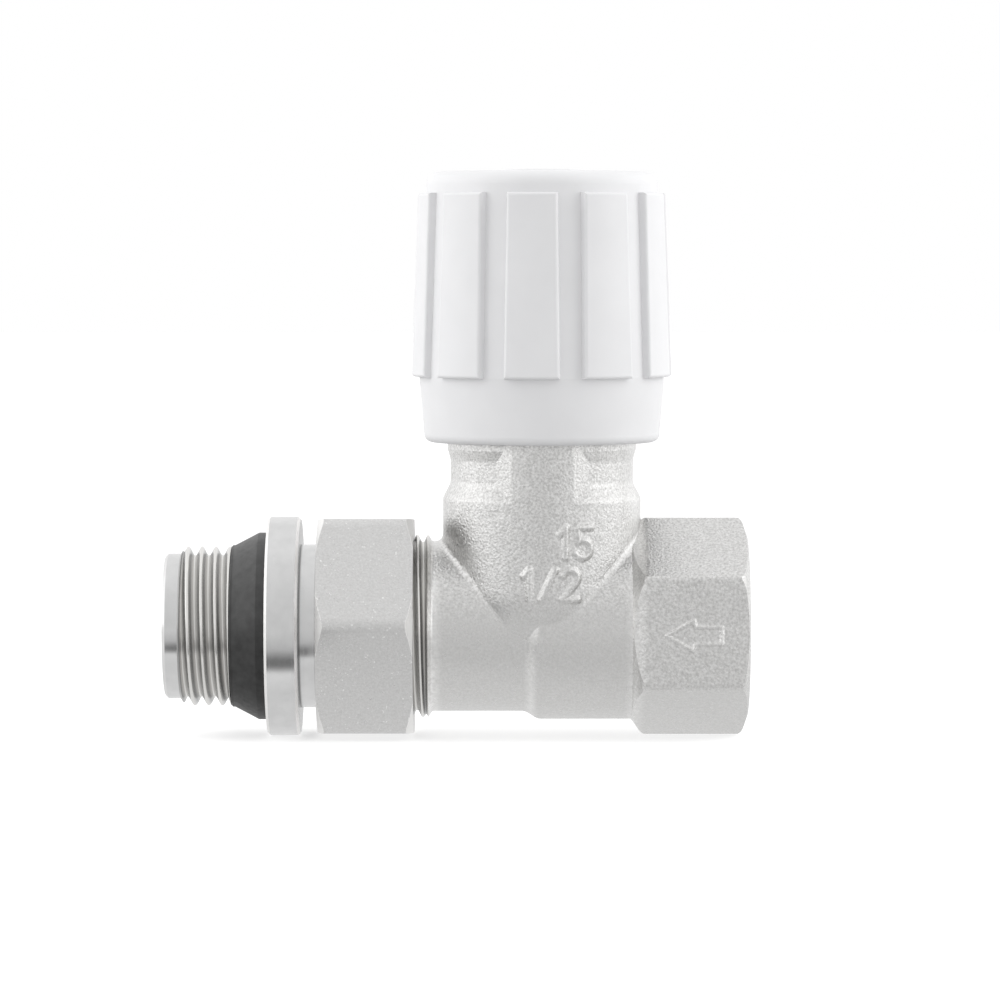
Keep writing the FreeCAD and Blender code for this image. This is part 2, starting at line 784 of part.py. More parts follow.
def tail_seal():
    inner = seal_seat_radius + thread_gap
    left = thread_right + seal_short
    return turned_x([
        (left, inner),
        (left, seal_end_radius, seal_edge_round / 2),
        (left + seal_end_land, seal_end_radius),
        (flange_left - seal_root_land, seal_root_radius, seal_edge_round),
        (flange_left, seal_root_radius),
        (flange_left, inner),
    ])


def union_o_ring():
    section = (spigot_bore_radius - groove_radius) / 2 - thread_gap
    centre = (spigot_bore_radius + groove_radius) / 2
    return ring_x(centre, section, groove_left + section)


def snap_ring():
    ring = rod_x(snap_inner + snap_radial, snap_left, snap_right)
    ring = ring.cut(rod_x(snap_inner, snap_left, snap_right))
    corner = FreeCAD.Vector(snap_left, -snap_split / 2, -2 * snap_inner)
    return ring.cut(Part.makeBox(snap_thickness, snap_split, 2 * snap_inner, corner))


def union_nut():
    reach = nut_flats / math.sqrt(3)
    slope = nut_chamfer / math.tan(math.radians(nut_chamfer_angle))
    envelope = turned_x([
        (nut_left, 0),
        (nut_left, reach - slope),
        (nut_left + nut_chamfer, reach),
        (nut_right - nut_chamfer, reach),
        (nut_right, reach - slope),
        (nut_right, 0),
    ])
    bar = rounded_hexagon_x(nut_flats, nut_left, nut_right, -nut_turn, nut_corner_round).common(envelope)
    hollow = turned_x([
        (nut_left, 0),
        (nut_left, tail_neck_radius + free_gap),
        (snap_left, tail_neck_radius + free_gap),
        (snap_left, nut_bore_radius),
        (nut_right - nut_entry_chamfer, nut_bore_radius),
        (nut_right, nut_bore_radius + nut_entry_chamfer),
        (nut_right, 0),
    ])
    return bar.cut(hollow)


pieces = {
    "valve_body": valve_body(),
    "bonnet": bonnet(),
    "bonnet_gasket": bonnet_gasket(),
    "gland_nut": gland_nut(),
    "packing_o_ring_lower": packing_ring(packing_floor),
    "packing_spacer": packing_spacer(),
    "packing_o_ring_upper": packing_ring(spacer_top),
    "disc_holder": disc_holder(),
    "disc_seal": disc_seal(),
    "disc_washer": disc_washer(),
    "disc_screw": disc_screw(),
    "spindle": spindle(),
    "handwheel": handwheel(),
    "handwheel_washer": handwheel_washer(),
    "handwheel_screw": handwheel_screw(),
    "handwheel_cap": handwheel_cap(),
    "union_tail": union_tail(),
    "tail_seal": tail_seal(),
    "union_o_ring": union_o_ring(),
    "snap_ring": snap_ring(),
    "union_nut": union_nut(),
}

os.makedirs("parts", exist_ok=True)
for name, shape in pieces.items():
    shape.exportStep(os.path.join("parts", name + ".step"))
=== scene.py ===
import math

import bpy
import numpy as np
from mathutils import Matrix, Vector


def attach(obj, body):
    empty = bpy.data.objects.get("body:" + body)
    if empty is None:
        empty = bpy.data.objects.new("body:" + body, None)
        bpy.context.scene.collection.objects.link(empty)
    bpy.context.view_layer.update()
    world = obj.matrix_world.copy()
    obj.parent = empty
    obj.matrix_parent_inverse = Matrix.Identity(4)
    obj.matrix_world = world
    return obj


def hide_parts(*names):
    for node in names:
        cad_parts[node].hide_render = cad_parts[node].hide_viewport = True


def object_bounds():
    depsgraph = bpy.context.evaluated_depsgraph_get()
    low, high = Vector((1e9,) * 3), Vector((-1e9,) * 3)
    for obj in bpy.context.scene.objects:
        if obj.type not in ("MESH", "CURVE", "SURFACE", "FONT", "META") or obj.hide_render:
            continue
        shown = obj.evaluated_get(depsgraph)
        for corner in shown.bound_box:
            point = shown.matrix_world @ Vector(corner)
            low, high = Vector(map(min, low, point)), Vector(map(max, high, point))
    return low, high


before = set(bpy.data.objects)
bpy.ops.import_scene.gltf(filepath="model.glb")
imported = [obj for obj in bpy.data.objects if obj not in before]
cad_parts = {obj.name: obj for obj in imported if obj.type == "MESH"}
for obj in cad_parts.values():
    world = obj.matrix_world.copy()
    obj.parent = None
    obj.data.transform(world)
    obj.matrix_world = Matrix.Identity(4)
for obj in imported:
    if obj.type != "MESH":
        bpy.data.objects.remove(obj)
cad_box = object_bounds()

# Straight manual radiator valve. Sizes are in millimetres unless a comment says otherwise.
MM = 0.001                  # metres

# Camera, at the photograph's angle
camera_distance = 650.0
camera_elevation = 2.95     # degrees
frame_width = 131.6         # width of the picture in the plane of the pipe axis
frame_centre = (-31.5, 0.0, 16.6)
sensor_width = 36.0
clip_start = 10.0
clip_end = 20000.0

# Places shared with the solids
spindle_x = -26.0
shoulder_radius = 13.0      # front of the neck, where the size marks are
foot_start = 5.4            # the neck curves in towards the run below this height
foot_round = 12.0
waist_radius = 12.0         # narrow part of the neck, behind the pad
pad_half = 5.4              # half width of the pad at its back
pad_back = 11.0             # distance from the spindle to the pad's back
pad_root_low = 18.2
pad_root_high = 23.1
inlet_flat = 12.5           # front flat of the inlet hexagon, where the arrow is
inlet_face = 1.0
inlet_face_radius = 11.9    # the inlet's face is turned inside this radius
hexagon_start = -14.3
flange_left = -62.0
flange_right = -57.7
flange_radius = 14.4
flange_chamfer = 0.35
nut_left = -55.4
nut_right = -42.8
nut_end_radius = 14.406     # where the nut's chamfers start
nut_chamfer_angle = 32.0    # degrees
outlet_reach = -60.0        # the outlet's turned faces end before this

# Threads
pipe_pitch = 1.814          # 1/2" pipe thread
pipe_depth = 1.162
pipe_crest_share = 0.05     # half of a crest's flat, as a share of the pitch
pipe_flank_share = 0.4      # and one flank
tail_crest = 10.4775
tail_lead = 9.54            # radius at the start of the tail's chamfer
tail_start = -73.5
tail_chamfer_end = -72.9
tail_stop = -66.8
tail_phase = -72.97         # a crest passes the +Y side here
socket_crest = 9.3155
socket_start = -11.0
socket_stop = 0.0
socket_phase = 0.0
socket_relief = 4.0         # the socket's turned faces end within this past its thread
union_pitch = 1.5
union_depth = 0.9
union_crest_share = 0.07
union_flank_share = 0.34
spigot_crest = 12.0
spigot_start = -50.2
spigot_stop = -40.9
spigot_phase = -42.73
row_margin = 0.025          # from a thread's end to its first row of points
row_step = 0.0801           # from row to row, before rounding to whole rows
thread_columns = 240
fade_length = 0.5           # a thread runs in and out over this length

# Raised marks
mark_cell = 0.07            # mesh size of a mark
mark_rim = 2                # cells kept round a stroke
mark_bury = 0.06            # a mark's rim lies this far under the skin
mark_back = 0.35            # thickness of a mark's sheet
size_height = 0.38
size_stroke = 0.8
size_edge = 0.42            # a stroke's side rises from this far outside to as far inside
size_upper_x = -21.9
size_upper_z = 11.7
size_upper_offsets = (-1.1, 1.3)
size_lower_x = -25.1
size_lower_z = 6.25
size_lower_offsets = (-2.6, -0.2, 2.7)
size_margin_across = 5.0
size_margin_up = 3.0
arrow_height = 0.24
arrow_stroke = 0.46
arrow_edge = 0.26
arrow_z = -0.35
arrow_tip = -9.9
arrow_wing = -6.4
arrow_wing_half = 2.0
arrow_neck = -6.2
arrow_tail = -2.8
arrow_shaft_half = 1.1
arrow_margin_across = 1.5
arrow_margin_up = 4.0

# Figures of the size marks
digit_height = 3.9
flag_reach = 0.75           # the flag of a 1, out from its stem
flag_share = 0.28           # its tip over the middle, as a share of the height
two_bowl = 0.26             # a bowl's radius, as a share of the height
two_arc = (165.0, -35.0)    # degrees
five_bowl = 0.29
five_arc = (120.0, -150.0)  # degrees
five_shift = -0.1
five_bar = 0.8              # the bar of a 5 to the left, as a share of the bowl
slash_lean = 0.24           # half its width, as a share of the height
arc_steps = 14

# Blasted skin of the forging
grain_size = 0.31
grain_middle = 0.5          # value of a skin without grain
grain_dark = (0.555, 0.551, 0.542)
grain_light = (0.835, 0.831, 0.822)
grain_depth = 0.09
run_grain = 0.3             # share of the grain that the run has
hexagon_grain = 0.8         # and that the hexagon has
hexagon_blend = 0.6         # half the length over which the one becomes the other
under_low = -8.0            # the hexagon's underside is as calm as the run
under_high = -6.8
neck_low = 1.0              # the neck's grain gains its full strength between these heights
neck_high = 6.0
swell_line = -27.5          # where the run's swell starts, in front
swell_half = 0.8            # half the length of its slope
swell_rise = 0.12
swell_full = -1.5           # the line fades out between these heights
swell_end = 1.0
# Painted highlights: lighter colour along the swell's line, the hexagon's left edge and beside the
# spigot
swell_highlight_reach = 0.9            # reach of the painted highlight along the line
edge_start = -13.9          # soft left edge of the hexagon
edge_round = 1.8
edge_rise = 0.4
edge_highlight_reach = 1.4
mouth_highlight_reach = 1.9            # reach of the painted highlight beside the spigot
mouth_strength = 1.9

# Other finishes
nut_chamfer_roughness = 0.6
flange_painted_shade = flange_right + 0.08    # painted shade lines beside the flange and the nut
nut_painted_shade = nut_left - 0.04
painted_shade_reach = 0.22
painted_shade_inner = 10.0           # the painted shade lines fade in between these radii
painted_shade_outer = 10.5
fibre_roughness = 0.8

# Slack in metres when points are welded or looked up in the solids
weld_grid = 1e-7
place_slack = 1e-6
radius_slack = 2e-6
band_slack = 2e-6

# Sockets of a Mix node that mixes colours
mix_first = 6
mix_second = 7
mix_result = 2

# Studio
light_width = 260.0
light_target = (-30.0, 0.0, 10.0)
left_place = (-330.0, -30.0, 150.0)
left_radiance = 1.5
right_place = (300.0, -30.0, 150.0)
right_radiance = 1.9
floor_half = 3000.0
floor_colour = 0.56
floor_roughness = 0.9
floor_specular = 0.1
floor_shown = 0.60          # added to the floor where the camera sees it
floor_near = 0.86           # radiance of the floor as metal reflects it, under the part
floor_far = 0.73            # and in front of it
floor_front = -22.0         # where it has come down to that
floor_sides = 0.15          # added at the sides
floor_inner = 45.0          # from the middle of the picture to where the sides start
floor_outer = 90.0
room_front = 0.75           # radiance of the room behind the camera
room_back = 0.97            # and level with the part and behind it
room_sides = 0.56           # added at the sides
card_left = -79.0
card_right = -56.0          # only the tail stands over the card
card_lift = 0.3
# Radiance of the card by distance in front of the pipe axis
card_levels = {
    -110.0: 0.70,
    -46.0: 0.62,
    -37.0: 0.38,
    -31.0: 0.18,
    -26.0: 0.19,
    -23.5: 0.52,
    -22.0: 0.90,
    -14.0: 0.76,
}
card_front = min(card_levels)
card_back = max(card_levels)


# Meshes


def ease(value):
    """Soft rise from 0 to 1."""
    value = np.clip(value, 0, 1)
    return value * value * (3 - 2 * value)


def add_object(name, data):
    made = bpy.data.objects.new(name, data)
    bpy.context.scene.collection.objects.link(made)
    return made


def cad_triangles(name):
    """Points, triangles and corner normals of a CAD node."""
    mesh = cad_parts[name].data
    points = np.empty(len(mesh.vertices) * 3)
    mesh.vertices.foreach_get("co", points)
    corners = np.empty(len(mesh.loops), dtype=int)
    mesh.loops.foreach_get("vertex_index", corners)
    normals = np.empty(len(mesh.loops) * 3)
    mesh.corner_normals.foreach_get("vector", normals)
    return points.reshape(-1, 3), corners.reshape(-1, 3), normals.reshape(-1, 3, 3)


def radius_x(points):
    """Distance from the pipe axis."""
    return np.hypot(points[..., 1], points[..., 2])


def split_faces(triangles, *picks):
    """A node's triangles as one part for each pick and one for the rest."""
    points, faces, normals = triangles
    left = np.ones(len(faces), dtype=bool)
    parts = []
    for pick in picks:
        taken = left & pick(points[faces])
        left &= ~taken
        parts.append((points, faces[taken], normals[taken]))
    parts.append((points, faces[left], normals[left]))
    return parts


def on_turned(start, stop, low, high):
    """Pick of the triangles whose corners all lie in a band round the pipe axis."""

    def pick(corners):
        x = corners[..., 0]
        radius = radius_x(corners)
        along = (x > start * MM - band_slack) & (x < stop * MM + band_slack)
        out = (radius > low * MM - band_slack) & (radius < high * MM + band_slack)
        return (along & out).all(axis=1)

    return pick


def merge(parts):
    """Parts of (points, faces, corner normals) as a single part."""
    starts = np.cumsum([0] + [len(part[0]) for part in parts[:-1]])
    points = np.concatenate([part[0] for part in parts])
    faces = np.concatenate([part[1] + start for part, start in zip(parts, starts)])
    normals = np.concatenate([part[2] for part in parts])
    return points, faces, normals


def make_piece(name, parts, materials):
    """One welded mesh from parts, each with its own material."""
    points, faces, normals = merge(parts)
    finish = np.concatenate([np.full(len(part[1]), index) for index, part in enumerate(parts)])
    keys = np.round(points / weld_grid).astype(np.int64)
    _, first, inverse = np.unique(keys, axis=0, return_index=True, return_inverse=True)
    faces = inverse.ravel()[faces]
    whole = (faces != np.roll(faces, 1, axis=1)).all(axis=1)
    mesh = bpy.data.meshes.new(name)
    mesh.from_pydata(points[first].tolist(), [], faces[whole].tolist())
    mesh.shade_smooth()
    mesh.normals_split_custom_set(normals[whole].reshape(-1, 3).tolist())
    for material in materials:
        mesh.materials.append(material)
    mesh.polygons.foreach_set("material_index", finish[whole].astype(np.int32))
    return add_object(name, mesh)


# Threads


def ring_at(points, x, radius):
    """A solid's own points round the pipe axis at one place, in order of angle."""
    near = (abs(points[:, 0] - x) < place_slack) & (abs(radius_x(points) - radius) < radius_slack)
    found = np.unique(np.round(points[near] / weld_grid), axis=0) * weld_grid
    turns = np.arctan2(found[:, 2], found[:, 1])
    order = np.argsort(turns)
    return found[order], turns[order]


def strip_faces(start, turns, next_start, next_turns):
    """Triangles between two rings whose points are in order of angle."""
    count = len(turns)
    next_count = len(next_turns)
    ends = np.append(turns[1:], turns[0] + 2 * math.pi)
    next_ends = np.append(next_turns[1:], next_turns[0] + 2 * math.pi)
    faces = []
    here = 0
    there = 0
    while here < count or there < next_count:
        low = start + here % count
        high = next_start + there % next_count
        if there == next_count or (here < count and ends[here] <= next_ends[there]):
            here += 1
            faces.append((low, start + here % count, high))
        else:
            there += 1
            faces.append((low, next_start + there % next_count, high))
    return np.array(faces)


def round_faces(height, width):
    """Triangles of a grid that closes round the pipe axis."""
    index = np.arange(height * width).reshape(height, width)
    after = np.roll(index, -1, axis=1)
    low = np.stack([index[:-1], after[:-1], after[1:]], axis=-1).reshape(-1, 3)
    high = np.stack([index[:-1], after[1:], index[1:]], axis=-1).reshape(-1, 3)
    return np.concatenate([low, high])


def round_normals(grid, outward):
    """Normals of a grid of points that closes round the pipe axis."""
    along = np.gradient(grid, axis=0)
    around = np.roll(grid, -1, axis=1) - np.roll(grid, 1, axis=1)
    normals = np.cross(around, along)
    return normals * (outward / np.linalg.norm(normals, axis=-1, keepdims=True))


def column_at(columns, turns):
    """The last column before each angle."""
    return np.searchsorted(columns, turns, side="right") - 1


def thread_drop(x, turn, pitch, phase, crest_share, flank_share):
    """Depth of the thread below its crests, from 0 to 1."""
    cycle = (x - phase) / pitch - turn / (2 * math.pi)
    away = abs(cycle - np.round(cycle))
    ramp = np.clip((away - crest_share) / flank_share, 0, 1)
    return (ramp + ease(ramp)) / 2


def thread_grid(columns, start, stop, blank, groove):
    """Points of a thread, in rows along the axis and columns round it."""
    count = round((stop - start) / row_step)
    rows = np.linspace(start + row_margin, stop - row_margin, count)
    x, turn = np.meshgrid(rows, columns, indexing="ij")
    fade = ease((x - start) / fade_length) * ease((stop - x) / fade_length)
    radius = groove(x, turn, blank(x), fade)
    return np.stack([x, radius * np.cos(turn), radius * np.sin(turn)], axis=-1) * MM


def thread_part(points, start, stop, blank, groove, outward):
    """Thread surface between two of a solid's rings, as a part."""
    first, first_turns = ring_at(points, start * MM, blank(np.array(start)) * MM)
    last, last_turns = ring_at(points, stop * MM, blank(np.array(stop)) * MM)
    columns = np.linspace(-math.pi, math.pi, thread_columns, endpoint=False)
    grid = thread_grid(columns, start, stop, blank, groove)
    height, width = grid.shape[:2]
    total = height * width
    entry = strip_faces(total, first_turns, 0, columns)
    leave = strip_faces(total - width, columns, total + len(first), last_turns)
    faces = np.concatenate([round_faces(height, width), entry, leave])
    if outward < 0:
        faces = faces[:, ::-1]
    normals = round_normals(grid, outward)
    first_normals = normals[0, column_at(columns, first_turns)]
    last_normals = normals[-1, column_at(columns, last_turns)]
    points = np.concatenate([grid.reshape(-1, 3), first, last])
    normals = np.concatenate([normals.reshape(-1, 3), first_normals, last_normals])
    return points, faces, normals[faces]


def pipe_groove(crest, phase, side):
    """Pipe thread cut into a blank; side is 1 on a rod and -1 in a hole."""

    def groove(x, turn, blank, fade):
        drop = thread_drop(x, turn, pipe_pitch, phase, pipe_crest_share, pipe_flank_share)
        cut = crest - side * pipe_depth * fade * drop
        return np.minimum(blank, cut) if side > 0 else np.maximum(blank, cut)

    return groove


def union_groove(x, turn, blank, fade):
    """Union thread cut into the spigot."""
    drop = thread_drop(x, turn, union_pitch, spigot_phase, union_crest_share, union_flank_share)
    return np.minimum(blank, spigot_crest - union_depth * fade * drop)


def plain_blank(radius):
    """Blank of one radius."""

    def blank(x):
        return np.full(x.shape, radius)

    return blank


def tail_blank(x):
    """Blank of the tail, with a chamfer at its start."""
    rise = (x - tail_start) / (tail_chamfer_end - tail_start)
    return tail_lead + (tail_crest - tail_lead) * np.clip(rise, 0, 1)


def threaded_tail(materials):
    """Union tail with its thread, and the edges of its flange in a painted highlight."""
    triangles = cad_triangles("union_tail")
    blank_faces = on_turned(tail_start, tail_stop, tail_lead, tail_crest)
    edges = [
        on_turned(left, left + flange_chamfer, flange_radius - flange_chamfer, flange_radius)
        for left in (flange_left, flange_right - flange_chamfer)
    ]
    _, *painted_highlight, plain = split_faces(triangles, blank_faces, *edges)
    groove = pipe_groove(tail_crest, tail_phase, 1)
    thread = thread_part(triangles[0], tail_start, tail_stop, tail_blank, groove, 1)
    return make_piece("threaded_tail", [plain, thread, merge(painted_highlight)], materials)


def pad_root(side):
    """Wedge that carries a flank of the neck's pad on into the waist, as a part."""
    lean = pad_back - pad_half
    over = pad_half ** 2 + pad_back ** 2 - waist_radius ** 2
    reach = (lean - math.sqrt(lean ** 2 - 2 * over)) / 2
    deep = reach - pad_back
    profile = [(pad_half, -pad_back), (pad_half + reach, deep), (pad_half, deep)]
    heights = (pad_root_low, pad_root_high)
    points = np.array([(spindle_x + side * x, y, z) for z in heights for x, y in profile]) * MM
    count = len(profile)
    faces = [(0, 2, 1), (count, count + 1, count + 2)]
    for low in range(count):
        after = (low + 1) % count
        faces += [(low, after, after + count), (low, after + count, low + count)]
    faces = np.array(faces)[:, ::side]
    first, second, third = points[faces].transpose(1, 0, 2)
    normals = np.cross(second - first, third - first)
    normals /= np.linalg.norm(normals, axis=1, keepdims=True)
    return points, faces, np.repeat(normals[:, None], 3, axis=1)


def threaded_body(materials):
    """Valve body with its threads and turned faces, and the neck's pad made whole."""
    triangles = cad_triangles("valve_body")
    blanks = [
        on_turned(spigot_start, spigot_stop, spigot_crest, spigot_crest),
        on_turned(socket_start, socket_stop, socket_crest, socket_crest),
    ]
    machined = [
        on_turned(outlet_reach, spigot_stop, 0, spigot_crest),
        on_turned(socket_start - socket_relief, inlet_face, 0, inlet_face_radius),
    ]
    _, _, outlet, inlet, forged = split_faces(triangles, *blanks, *machined)
    points = triangles[0]
    spigot_blank = plain_blank(spigot_crest)
    spigot = thread_part(points, spigot_start, spigot_stop, spigot_blank, union_groove, 1)
    socket_blank = plain_blank(socket_crest)
    socket_groove = pipe_groove(socket_crest, socket_phase, -1)
    socket = thread_part(points, socket_start, socket_stop, socket_blank, socket_groove, -1)
    skin = merge([forged, pad_root(1), pad_root(-1)])
    turned = merge([socket, outlet, inlet])
    return make_piece("threaded_body", [skin, turned, spigot], materials)


# Raised marks


def line_distance(u, v, start, end):
    ax, az = start
    bx, bz = end
    length = (bx - ax) ** 2 + (bz - az) ** 2
    share = np.clip(((u - ax) * (bx - ax) + (v - az) * (bz - az)) / length, 0, 1)
    return np.hypot(u - ax - share * (bx - ax), v - az - share * (bz - az))


def path_distance(u, v, points):
    return np.min([line_distance(u, v, a, b) for a, b in zip(points, points[1:])], axis=0)


def arc_points(centre, radius, arc):
    """Points on an arc from one angle to another, in degrees."""
    angles = np.radians(np.linspace(*arc, arc_steps))
    return [(centre[0] + radius * math.cos(a), centre[1] + radius * math.sin(a)) for a in angles]


def figure_one(height):
    return [(-flag_reach, flag_share * height), (0.0, height / 2), (0.0, -height / 2)]


def figure_two(height):
    bowl = height * two_bowl
    top = arc_points((0, height / 2 - bowl), bowl, two_arc)
    return top + [(-bowl, -height / 2), (bowl, -height / 2)]


def figure_five(height):
    bowl = height * five_bowl
    low = arc_points((five_shift, -height / 2 + bowl), bowl, five_arc)
    return [(bowl, height / 2), (-five_bar * bowl, height / 2)] + low


def slash(height):
    return [(-slash_lean * height, -height / 2), (slash_lean * height, height / 2)]


def placed(points, u, v):
    return [(x + u, z + v) for x, z in points]


def near_cells(away, limit):
    """Squares of a grid whose corners are all nearer than a limit."""
    index = np.arange(away.size).reshape(away.shape)
    corners = [index[:-1, :-1], index[1:, :-1], index[1:, 1:], index[:-1, 1:]]
    cells = np.stack(corners, axis=-1).reshape(-1, 4)
    near = away.ravel()[cells] < limit
    return cells[near.all(axis=1)]


def mark(name, strokes, extent, place, height, stroke, edge, material):
    """Raised strokes on a skin; place turns (across, up, height) arrays into points."""
    (left, right), (low, high) = extent
    across = np.arange(left, right + mark_cell, mark_cell)
    up = np.arange(low, high + mark_cell, mark_cell)
    u, v = np.meshgrid(across, up, indexing="ij")
    away = np.min([path_distance(u, v, path) for path in strokes], axis=0)
    rise = 1 - ease((away - stroke / 2 + edge) / (2 * edge))
    points = place(u, v, (height + mark_bury) * rise - mark_bury).reshape(-1, 3)
    faces = near_cells(away, stroke / 2 + edge + mark_rim * mark_cell)
    used, compact = np.unique(faces, return_inverse=True)
    mesh = bpy.data.meshes.new(name)
    mesh.from_pydata((points[used] * MM).tolist(), [], compact.reshape(-1, 4).tolist())
    mesh.shade_smooth()
    mesh.materials.append(material)
    piece = add_object(name, mesh)
    backing = piece.modifiers.new("backing", "SOLIDIFY")
    backing.thickness = mark_back * MM
    backing.offset = -1
    return piece


def on_neck(u, v, height):
    """Points on the front of the neck; u runs along its arc from the spindle's plane."""
    turn = u / shoulder_radius
    radius = shoulder_radius + height - np.maximum(foot_start - v, 0) ** 2 / (2 * foot_round)
    return np.stack([spindle_x + radius * np.sin(turn), -radius * np.cos(turn), v], axis=-1)


def on_inlet_flat(u, v, height):
    return np.stack([u, -inlet_flat - height, v], axis=-1)


def size_marks(material):
    """Size of the valve in plain numbers, on the neck."""
    upper = size_upper_x - spindle_x
    lower = size_lower_x - spindle_x
    strokes = []
    for figure, offset in zip((figure_one, figure_five), size_upper_offsets):
        strokes.append(placed(figure(digit_height), upper + offset, size_upper_z))
    for figure, offset in zip((figure_one, slash, figure_two), size_lower_offsets):
        strokes.append(placed(figure(digit_height), lower + offset, size_lower_z))
    across = (lower - size_margin_across, upper + size_margin_across)
    up = (size_lower_z - size_margin_up, size_upper_z + size_margin_up)
    form = (size_height, size_stroke, size_edge)
    return mark("size_marks", strokes, (across, up), on_neck, *form, material)


def flow_arrow(material):
    """Outline of an arrow, on the inlet hexagon."""
    upper = [
        (arrow_tip, 0),
        (arrow_wing, arrow_wing_half),
        (arrow_neck, arrow_shaft_half),
        (arrow_tail, arrow_shaft_half),
    ]
    lower = [(x, -z) for x, z in reversed(upper)]
    strokes = [placed(upper + lower, 0, arrow_z)]
    across = (arrow_tip - arrow_margin_across, arrow_tail + arrow_margin_across)
    up = (-arrow_margin_up, arrow_margin_up)
    form = (arrow_height, arrow_stroke, arrow_edge)
    return mark("flow_arrow", strokes, (across, up), on_inlet_flat, *form, material)


# Materials


def grey(level):
    return (level, level, level)


def node_material(name):
    material = bpy.data.materials.new(name)
    material.use_nodes = True
    return material


def add_node(tree, kind, sockets=None, **settings):
    """A shader node with its settings, and with each socket given linked or set."""
    made = tree.nodes.new("ShaderNode" + kind)
    for key, value in settings.items():
        setattr(made, key, value)
    for key, value in (sockets or {}).items():
        if isinstance(value, bpy.types.NodeSocket):
            tree.links.new(value, made.inputs[key])
        else:
            made.inputs[key].default_value = value
    return made


def calculate(tree, operation, *values):
    return add_node(tree, "Math", dict(enumerate(values)), operation=operation).outputs[0]


def map_range(tree, value, low, high, start, end, **settings):
    """A value between start and end, brought between low and high."""
    sockets = {"Value": value, "From Min": start, "From Max": end, "To Min": low, "To Max": high}
    return add_node(tree, "MapRange", sockets, **settings).outputs["Result"]


class Finish:
    """A material's node tree, with coordinates in millimetres."""

    def __init__(self, name, metallic):
        self.material = node_material(name)
        self.tree = self.material.node_tree
        self.shader = self.tree.nodes["Principled BSDF"]
        self.shader.inputs["Metallic"].default_value = metallic
        where = self.add("TexCoord").outputs["Object"]
        sockets = {0: where, "Scale": 1 / MM}
        self.place = self.add("VectorMath", sockets, operation="SCALE").outputs[0]

    def add(self, kind, sockets=None, **settings):
        return add_node(self.tree, kind, sockets, **settings)

    def axes(self):
        """Coordinates along the pipe, across it and up."""
        return self.add("SeparateXYZ", {0: self.place}).outputs

    def along_and_out(self):
        """Distances along the pipe axis and out from it."""
        along, across, up = self.axes()
        flat = self.add("CombineXYZ", {1: across, 2: up}).outputs[0]
        return along, self.add("VectorMath", {0: flat}, operation="LENGTH").outputs["Value"]

    def noise(self, size, detail=2.0, roughness=0.5, place=None):
        """Noise with features of about this size in millimetres."""
        sockets = {"Vector": place or self.place, "Scale": 1 / size}
        sockets.update({"Detail": detail, "Roughness": roughness})
        return self.add("TexNoise", sockets).outputs["Fac"]

    def ring_noise(self, size):
        """Noise in rings round the pipe axis, as turning leaves it."""
        along, out = self.along_and_out()
        rings = self.add("CombineXYZ", {0: along, 1: out}).outputs[0]
        return self.noise(size, roughness=0.6, place=rings)

    def spread(self, value, low=0.0, high=1.0, start=0.3, end=0.7):
        """A value stretched to a range; the usual start and end are those of noise."""
        return map_range(self.tree, value, low, high, start, end)

    def slope(self, value, start, end):
        """A soft rise from 0 to 1."""
        return map_range(self.tree, value, 0, 1, start, end, interpolation_type="SMOOTHSTEP")

    def near(self, value, centre, reach):
        """1 where a value is at the centre, and 0 from the reach on."""
        off = self.math("SUBTRACT", value, centre)
        return self.spread(self.math("ABSOLUTE", off), low=1, high=0, start=0, end=reach)

    def math(self, operation, *values):
        return calculate(self.tree, operation, *values)

    def tint(self, value, dark, light):
        """Base colour between two colours."""
        sockets = {"Factor": value, mix_first: (*dark, 1), mix_second: (*light, 1)}
        mixed = self.add("Mix", sockets, data_type="RGBA")
        self.tree.links.new(mixed.outputs[mix_result], self.shader.inputs["Base Color"])

    def stain(self, value, colour):
        """Another colour over the base colour where the value is high."""
        base = self.shader.inputs["Base Color"]
        sockets = {"Factor": value, mix_first: base.links[0].from_socket, mix_second: (*colour, 1)}
        mixed = self.add("Mix", sockets, data_type="RGBA")
        self.tree.links.new(mixed.outputs[mix_result], base)

    def rough(self, value):
        self.tree.links.new(value, self.shader.inputs["Roughness"])

    def bump(self, height, depth, before=None):
        """Bump of this depth in millimetres, on top of another one."""
        sockets = {"Height": height, "Distance": depth * MM, "Strength": 1.0}
        if before:
            sockets["Normal"] = before
        normal = self.add("Bump", sockets).outputs["Normal"]
        self.tree.links.new(normal, self.shader.inputs["Normal"])
        return normal


def forged_grain(finish, along, up):
    """Grain that is coarse on the neck, less so on the hexagon and least on the run."""
    blend = {"start": hexagon_start - hexagon_blend, "end": hexagon_start + hexagon_blend}
    hexagon = finish.spread(along, run_grain, hexagon_grain, **blend)
    upper = finish.spread(up, run_grain, 1, start=under_low, end=under_high)
    neck = finish.spread(up, run_grain, 1, start=neck_low, end=neck_high)
    share = finish.math("MAXIMUM", finish.math("MINIMUM", hexagon, upper), neck)
    sockets = {"Factor": share, "A": grain_middle, "B": finish.noise(grain_size)}
    return finish.add("Mix", sockets).outputs["Result"]


def forged_highlights(finish, along, front):
    """Patchy painted highlight along the swell's line, the hexagon's edge and beside the spigot."""
    line = finish.math("MULTIPLY", finish.near(along, swell_line, swell_highlight_reach), front)
    edge = finish.near(along, edge_start, edge_highlight_reach)
    mouth_end = spigot_stop + mouth_highlight_reach
    mouth = finish.spread(along, low=mouth_strength, high=0, start=spigot_stop, end=mouth_end)
    painted_highlight = finish.math("MAXIMUM", finish.math("MAXIMUM", line, edge), mouth)
    patchy = finish.spread(finish.noise(size=0.5), low=0.15, high=0.65)
    return finish.math("MULTIPLY", painted_highlight, patchy)


